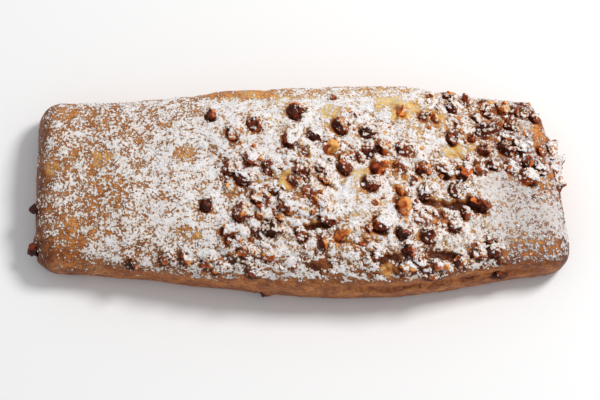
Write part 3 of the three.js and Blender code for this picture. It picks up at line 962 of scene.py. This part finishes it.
def cleft_shares(points):
    """How deep in the clefts each point lies, from 0 to 1, and their depths there in mm."""
    share = np.zeros(len(points))
    depths = np.zeros(len(points))
    edge = ripples(points, CLEFT_RIPPLES)
    for x, y, half_length, half_width, turn, depth in CLEFTS:
        apart_x = points[:, 0] - x
        apart_y = points[:, 1] - y
        cos = math.cos(math.radians(turn))
        sin = math.sin(math.radians(turn))
        along = (cos * apart_x + sin * apart_y) / half_length
        across = (cos * apart_y - sin * apart_x + edge) / half_width
        inside = np.exp(-(along**CLEFT_POWER) - across**CLEFT_POWER) * (points[:, 2] > CLEFT_LOWEST)
        share = np.maximum(share, inside)
        depths = np.maximum(depths, depth * inside)
    return share, depths


def around_nuts(points, nuts):
    """How far each point lies outside the nearest nut, and how deep in the crevices on their shadow sides,
    which get painted shade.
    """
    gap = np.full(len(points), FAR_FROM_NUTS)
    crevice = np.zeros(len(points))
    for nut in nuts:
        apart = points - nut["seat"]
        distance = np.linalg.norm(apart, axis=1)
        near = np.flatnonzero(distance < NUT_NEAR * nut["size"])
        local = apart[near] @ nut["turn"] / nut["half"]
        away = (np.linalg.norm(local, axis=1) - NUT_MEAN_REACH) * nut["half"].mean()
        # Crevices lie on the shadow side of each nut, where painted shade darkens them
        on_shadow_side = smoothstep(apart[near] @ SHADOW_SIDE / distance[near], *CREVICE_SHADOW_SIDE)
        gap[near] = np.minimum(gap[near], away)
        roast = nut["looks"][0] if nut["looks"] else USUAL_ROAST
        fade = np.exp(-((np.maximum(away, 0) / CREVICE_REACH) ** 2))
        crevice[near] = np.maximum(crevice[near], lerp(*CREVICE_SHADES, roast) * on_shadow_side * fade)
    return gap, crevice


def lump_tops(points):
    """Lumps of the dough among the nuts: 0 in the clefts between them and 1 on their tops."""
    scaled = points / LUMP_SIZE
    warped = scaled + LUMP_WARP / LUMP_SIZE * bends(LUMP_WARP_RATE * scaled)
    nearest = [noise.voronoi(point)[0] for point in warped.tolist()]
    ridges = np.array([second - first for first, second, *_ in nearest])
    return smoothstep(ridges, 0.0, LUMP_EDGE)


def field_share(points, normals):
    """How much a point belongs to the lumpy field among the nuts."""
    flat = points[:, :2]
    apart = [((flat - (x, y)) ** 2).sum(axis=1) / (FIELD_REACH * reach) ** 2 for x, y, reach in NUT_GROUPS]
    return np.exp(-np.min(apart, axis=0)) * smoothstep(normals[:, 2], *FIELD_HOLD)


def crust_relief(points, field, gap, crevice, lumps, cleft_depths):
    """Fine relief of the crust in mm: lumps, and dough that rises to the nuts or falls away from them."""
    rise = field * (lumps - LUMP_SINK) + ripples(points, CRUST_RIPPLES)
    skirt = SKIRT_RISE * np.exp(-((np.maximum(gap, 0) / SKIRT_REACH) ** 2))
    upper = smoothstep(points[:, 2], *RELIEF_ABOVE)
    return upper * (rise + skirt * (1 - crevice) - CREVICE_DEPTH * crevice - cleft_depths)


def crust_sugar(points, normals, bare, gap, shaded_hollow):
    """Share of the crust that sugar covers."""
    x, y, z = points.T
    shoulder = (1 - smoothstep(y, *SHOULDER_ACROSS)) * smoothstep(z, *SHOULDER_ABOVE)
    further = np.interp(x, *SHOULDER_SUGAR) * shoulder
    facing = normals @ CRUST_FACING + further + ripples(points, HOLD_RIPPLES)
    back_band = smoothstep(y, *BACK_EDGE) * np.interp(x, *BARE_BACK)
    front_side = smoothstep(-y, *FRONT_SIDE) * (1 - smoothstep(np.abs(x - FRONT_SIDE_AT), *FRONT_SIDE_ENDS))
    above = smoothstep(z - FRONT_SIDE_LIFT * front_side, *SUGAR_ABOVE)
    stays = smoothstep(facing, *SUGAR_HOLD) * above * (1 - bare) * (1 - back_band)
    specks = smoothstep(z, *SPECKS_ABOVE) * np.interp(x, *SIDE_SPECKS)
    uneven = ripples(points, COVER_RIPPLES) * (1 - EVENNESS * smoothstep(x, *EVEN_END))
    beside_nuts = BESIDE_NUTS * np.exp(-np.maximum(gap, 0) / BESIDE_REACH)
    cover = np.clip(np.interp(x, *TOP_SUGAR) + uneven - beside_nuts, 0, 1)
    return lerp(lerp(specks, cover, stays), HOLLOW_SUGAR, HOLLOW_SHARE * shaded_hollow)


def crust_bake(points, pale, gap, shaded_hollow):
    """How brown the crust is baked, with painted shade in the hollows and partly at the rims by the nuts."""
    x, y, z = points.T
    middle = smoothstep(x, *MIDDLE_FROM) * (1 - MIDDLE_LOSS * smoothstep(x, *MIDDLE_TO))
    top = smoothstep(z, *TOP_ABOVE) * smoothstep(y, *TOP_ACROSS)
    shares = {
        "low": 1 - smoothstep(z, *LOW_BELOW),
        "front": 1 - smoothstep(y, *FRONT_ACROSS),
        "ends": smoothstep(np.abs(x), *ENDS_PAST),
        # Browner rim by the nuts: partly baked colour, partly painted contact shade
        "rim": np.exp(-np.maximum(gap, 0) / RIM_REACH),
    }
    bake_and_shade = BAKE["plain"] + (BAKE["top"] + BAKE["middle"] * middle) * top
    for place, share in shares.items():
        bake_and_shade = bake_and_shade + BAKE[place] * share
    # The hollows add painted shade
    return np.clip(lerp(bake_and_shade, PALE_BAKE, pale) + HOLLOW_PAINTED_SHADE * shaded_hollow, 0, 1)


def make_crust(nuts):
    """The crust's mesh. What later pieces need of it is returned."""
    points, faces, triangles = crust_grid()
    gap, crevice = around_nuts(points, nuts)
    lumps = lump_tops(points)
    cleft, cleft_depths = cleft_shares(points)
    normals = point_normals(points, triangles)
    field = field_share(points, normals)
    points = points + normals * crust_relief(points, field, gap, crevice, lumps, cleft_depths)[:, None]
    normals = point_normals(points, triangles)
    bare, pale = patch_shares(points)
    paler = np.clip(pale, 0, 1)
    on_shadow_side = smoothstep(normals @ SHADOW_SIDE, *LUMP_SHADOW_SIDE)
    # Painted shade in the clefts between lumps, deepest on their shadow side
    between = field * (1 - smoothstep(lumps, 0.0, LUMP_CLEFT)) * lerp(*LUMP_SHADES, on_shadow_side)
    # Painted shade in the hollows: crevices by the nuts, clefts and the clefts between lumps
    shaded_hollow = np.maximum(np.maximum(crevice, cleft), between)
    sugar = crust_sugar(points, normals, bare, gap, shaded_hollow)
    values = {
        "sugar": sugar,
        "bake_and_shade": crust_bake(points, pale, gap, shaded_hollow),
        # Thin sugar: on the pale patches only thin, at the right end also greyed as painted shade
        "thin_and_dimmed": np.maximum(THIN_AND_DIM_SHARE * smoothstep(points[:, 0], *THIN_AND_DIM_END), PALE_THINNESS * paler),
    }
    points = points + normals * (SUGAR_DEPTH * np.maximum(sugar, 0))[:, None]
    crust = make_mesh("pastry_crust", points, faces, values, crust_material())
    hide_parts("nut_turnover")
    return {
        "points": points,
        "triangles": triangles,
        "normals": normals,
        "sugar": np.where(gap < NUT_CORE, 0, np.maximum(sugar, 0)),
        "open": (1 - cleft) * (1 - paler),
    }


# Nut pieces

NUT_LEVELS = 4
NUT_LOOK_SEED = 4117
NUT_SOFTENING = 0.3
LEAST_COSINE = 1e-6

# Space between the places where pieces take their noise, in mm, so that no two are alike
NOISE_SPACING = 13.0

# Wrinkles in mm: lobes with grooves between them, dents and pits, all shallower below the full size
LOBE_SIZE = 2.3
LOBE_WARP = 0.6
LOBE_WARP_SHARE = 0.6
LOBE_EDGE = 0.4
LOBE_TONE_RATE = 50
GROOVE_DEPTH = 0.5
DENT_DEPTH = 0.5
DENT_SIZE = 2.4
PIT_DEPTH = 0.45
PIT_SIZE = 0.9
NUT_SWELL = 0.2
FULL_SIZE = 5

# Roast of a piece by its looks and what its single faces, lobes and ripples add; painted shade on its shadow
# side and grooves
ROAST_SCALE = 0.8
ROAST_POWER = 1.3
DARKEST_ROASTS = (0.75, 1.0)
SHADOW_SIDE_SHADE = 0.42
FACE_ROAST = 0.22
LOBE_ROAST = 0.16
GROOVE_SHADE = 0.15
ROAST_RIPPLES = [(0.15, 1.2)]

# Looks drawn for the small pieces: the two numbers of a beta draw of roast, and least and most sugar
DRAWN_ROAST = (1.8, 1.6)
DRAWN_SUGAR = (0.1, 1.0)

# Sugar on a piece: power that raises its share, unevenness, and how steep a face holds it
CAP_POWER = 0.7
CAP_RIPPLES = [(0.2, 1.5)]
CAP_HOLD = (0.3, 0.75)

# Crumbs between the pieces: count, size in mm, proportions and looks
CRUMB_COUNT = 450
CRUMB_LEVELS = 3
CRUMB_SMALLEST = 0.9
CRUMB_LARGEST = 2.8
CRUMB_SIZE_POWER = 2
CRUMB_PROPORTIONS = (0.5, 1.0)
CRUMB_ROAST = (2.2, 1.8)
CRUMB_SUGAR = (0.2, 1.0)
CRUMB_OPEN_POWER = 4
CRUMB_SEED = 77


def unit_ball(levels):
    """Points of a unit ball, its triangles, and shares that give each point the mean of its neighbours."""
    ball = bmesh.new()
    bmesh.ops.create_icosphere(ball, subdivisions=levels, radius=1.0)
    points = np.array([point.co for point in ball.verts])
    triangles = np.array([[point.index for point in face.verts] for face in ball.faces])
    around = np.zeros((len(points), len(points)))
    for edge in ball.edges:
        first, second = (point.index for point in edge.verts)
        around[first, second] = around[second, first] = 1
    ball.free()
    return points, triangles, around / around.sum(axis=1, keepdims=True)


def nut_lobes(points):
    """Lobes of a wrinkled nut: 0 in the grooves and 1 on the tops, and a tone for each from -1 to 1."""
    warped = points + LOBE_WARP * bends(points / (LOBE_WARP_SHARE * LOBE_SIZE))
    cells = [noise.voronoi(point) for point in (warped / LOBE_SIZE).tolist()]
    ridges = np.array([distances[1] - distances[0] for distances, _ in cells])
    tones = np.array([noise.cell(LOBE_TONE_RATE * centres[0]) for _, centres in cells])
    return smoothstep(ridges, 0.0, LOBE_EDGE), tones


def wrinkles(place, lobes, size):
    """Heights of a nut piece's wrinkles in mm."""
    dents = DENT_DEPTH * wave(place, DENT_SIZE)
    pits = PIT_DEPTH * np.abs(wave(place, PIT_SIZE))
    rough = dents - GROOVE_DEPTH * (1 - lobes) - pits
    return (rough + NUT_SWELL) * min(size / FULL_SIZE, 1)


def make_chunks(name, nuts, levels, material):
    """Broken nuts as one mesh: wrinkled faces of several tones, painted shade on the shadow side and in the
    grooves, and sugar on top.
    """
    rng = np.random.default_rng(NUT_LOOK_SEED)
    ball, ball_triangles, around = unit_ball(levels)
    soften = lerp(np.eye(len(ball)), around, NUT_SOFTENING)
    points = []
    triangles = []
    roasts_and_shade = []
    caps = []
    for i, nut in enumerate(nuts):
        normals, depths = nut["faces"]
        reaches = depths / np.maximum(ball @ normals.T, LEAST_COSINE)
        local = soften @ (ball * reaches.min(axis=1, keepdims=True)) * nut["half"]
        place = local + np.array((NOISE_SPACING * i, 0, 0))
        outward = point_normals(local, ball_triangles)
        lobes, tones = nut_lobes(place)
        local = local + outward * wrinkles(place, lobes, nut["size"])[:, None]
        points.append(nut["seat"] + local @ nut["turn"].T)
        triangles.append(ball_triangles + i * len(ball))

        drawn = (rng.beta(*DRAWN_ROAST), rng.uniform(*DRAWN_SUGAR))
        roast, cap = nut["looks"] or drawn
        # Painted shade: faces turned to the shadow side are roasted darker
        on_shadow_side = normals @ nut["turn"].T @ SHADOW_SIDE
        uneven = rng.uniform(-FACE_ROAST, FACE_ROAST, len(depths))
        face_tones = ROAST_SCALE * roast**ROAST_POWER + SHADOW_SIDE_SHADE * on_shadow_side + uneven
        shade = soften @ face_tones[reaches.argmin(axis=1)] + LOBE_ROAST * tones
        # Painted shade in the grooves
        shade = shade + GROOVE_SHADE * (1 - lobes) + ripples(place, ROAST_RIPPLES)
        roasts_and_shade.append(np.clip(shade, 0, lerp(*DARKEST_ROASTS, roast)))
        caps.append(np.full(len(ball), cap**CAP_POWER))
    points = np.concatenate(points)
    triangles = np.concatenate(triangles)
    normals = point_normals(points, triangles)
    holds = smoothstep(normals @ SUGAR_FROM + ripples(points, CAP_RIPPLES), *CAP_HOLD)
    sugar = np.concatenate(caps) * holds
    # The roast attribute also holds painted shade on the shadow side and in the grooves
    values = {"sugar": sugar, "roast": np.concatenate(roasts_and_shade)}
    points = points + normals * (SUGAR_DEPTH * sugar)[:, None]
    make_mesh(name, points, triangles.tolist(), values, material)
    return {"points": points, "triangles": triangles, "sugar": sugar}


def strewn(surface, weights, count, rng):
    """Points drawn at random over a surface's triangles, by weight."""
    spans = surface["points"][surface["triangles"]]
    crossed = np.cross(spans[:, 1] - spans[:, 0], spans[:, 2] - spans[:, 0])
    chances = np.linalg.norm(crossed, axis=1) * weights[surface["triangles"]].mean(axis=1)
    chosen = rng.choice(len(spans), count, p=chances / chances.sum())
    mixing = rng.dirichlet((1, 1, 1), count)
    return np.einsum("ij,ijk->ik", mixing, spans[chosen])


def crumbs(crust):
    """Fine crumbs of nut between the pieces, clear of the clefts and the pale patches."""
    rng = np.random.default_rng(CRUMB_SEED)
    upward = crust["normals"][:, 2]
    density = np.array([nut_density(point, up) for point, up in zip(crust["points"], upward)])
    found = []
    for seat in strewn(crust, density * crust["open"] ** CRUMB_OPEN_POWER, CRUMB_COUNT, rng):
        size = lerp(CRUMB_SMALLEST, CRUMB_LARGEST, rng.random() ** CRUMB_SIZE_POWER)
        half = size / 2 * rng.uniform(*CRUMB_PROPORTIONS, 3)
        turn = np.array(Euler(rng.uniform(0, 2 * math.pi, 3).tolist()).to_matrix())
        faces = nut_faces(rng.random)
        looks = (rng.beta(*CRUMB_ROAST), rng.uniform(*CRUMB_SUGAR))
        found.append(dict(seat=seat, size=size, half=half, turn=turn, faces=faces, looks=looks))
    return found


# Icing sugar clumps: count, size in mm, and least and most of what makes their shapes uneven

CLUMP_COUNT = 9000
CLUMP_SMALLEST = 0.22
CLUMP_LARGEST = 0.62
CLUMP_SIZE_POWER = 2.2
CLUMP_COVER_POWER = 1.5
CLUMP_UNEVEN = (0.6, 1.4)
CLUMP_PROPORTIONS = (0.6, 1.2)
CLUMP_RADIUS = 0.7
CLUMP_SEED = 902


def joined(surfaces):
    """Several surfaces as one."""
    starts = np.cumsum([0] + [len(surface["points"]) for surface in surfaces])
    triangles = [surface["triangles"] + start for surface, start in zip(surfaces, starts)]
    return {
        "points": np.concatenate([surface["points"] for surface in surfaces]),
        "triangles": np.concatenate(triangles),
        "sugar": np.concatenate([surface["sugar"] for surface in surfaces]),
    }


def make_sugar(surfaces):
    """Small uneven clumps of sugar, strewn where the surfaces hold it."""
    rng = np.random.default_rng(CLUMP_SEED)
    corners, faces, _ = unit_ball(1)
    surface = joined(surfaces)
    middles = strewn(surface, surface["sugar"] ** CLUMP_COVER_POWER, CLUMP_COUNT, rng)
    sizes = lerp(CLUMP_SMALLEST, CLUMP_LARGEST, rng.random(CLUMP_COUNT) ** CLUMP_SIZE_POWER)
    uneven = rng.uniform(*CLUMP_UNEVEN, (CLUMP_COUNT, len(corners), 1))
    proportions = rng.uniform(*CLUMP_PROPORTIONS, (CLUMP_COUNT, 1, 3))
    turns = rng.uniform(0, 2 * math.pi, (CLUMP_COUNT, 3)).tolist()
    spins = np.array([Euler(turn).to_matrix() for turn in turns])
    shapes = corners * (uneven * proportions) * (CLUMP_RADIUS * sizes)[:, None, None]
    clumps = middles[:, None, :] + np.einsum("nij,nkj->nki", spins, shapes)
    starts = np.arange(CLUMP_COUNT)[:, None, None] * len(corners)
    triangles = (faces + starts).reshape(-1, 3).tolist()
    make_mesh("icing_sugar", clumps.reshape(-1, 3), triangles, {}, sugar_material())


def main():
    noise.seed_set(WARP_SEED)
    draw = make_draw(NUT_SEED)
    nuts = nut_frames(scatter_nuts(draw), draw)
    add_camera()
    add_key_light()
    add_sky()
    add_floor()
    crust = make_crust(nuts)
    material = nut_material()
    chunks = make_chunks("chopped_nuts", nuts, NUT_LEVELS, material)
    make_chunks("nut_crumbs", crumbs(crust), CRUMB_LEVELS, material)
    make_sugar([crust, chunks])


main()
